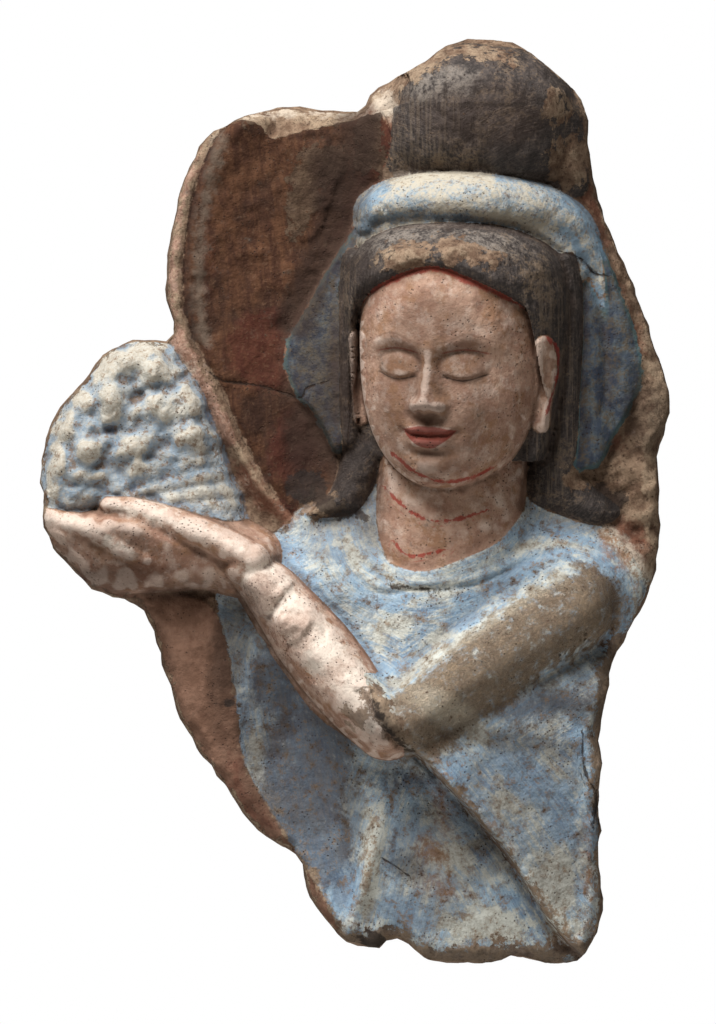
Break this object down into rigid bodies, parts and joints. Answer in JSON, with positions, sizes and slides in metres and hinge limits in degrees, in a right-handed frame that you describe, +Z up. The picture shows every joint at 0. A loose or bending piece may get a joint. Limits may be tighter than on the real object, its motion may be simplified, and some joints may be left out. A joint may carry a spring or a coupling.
{
  "type": "painted clay relief of a celestial maiden",
  "caption": "Broken fragment of a painted clay wall relief: a celestial maiden with a topknot, an arm raised with flowers, before a hollow disc; flat back.",
  "frame": {"origin": "on the flat back, behind the middle of the fragment, between the neck and the raised hand's height", "axes": "+X to the right as seen from the front, +Y into the wall, +Z up; the carved front faces -Y"},
  "size_m": [0.3677, 0.1337, 0.5383],
  "materials": {
    "painted_clay": "matte worn paint on unfired clay"
  },
  "bodies": {
    "root": {"maiden_relief": "painted_clay"}
  },
  "joints": []
}
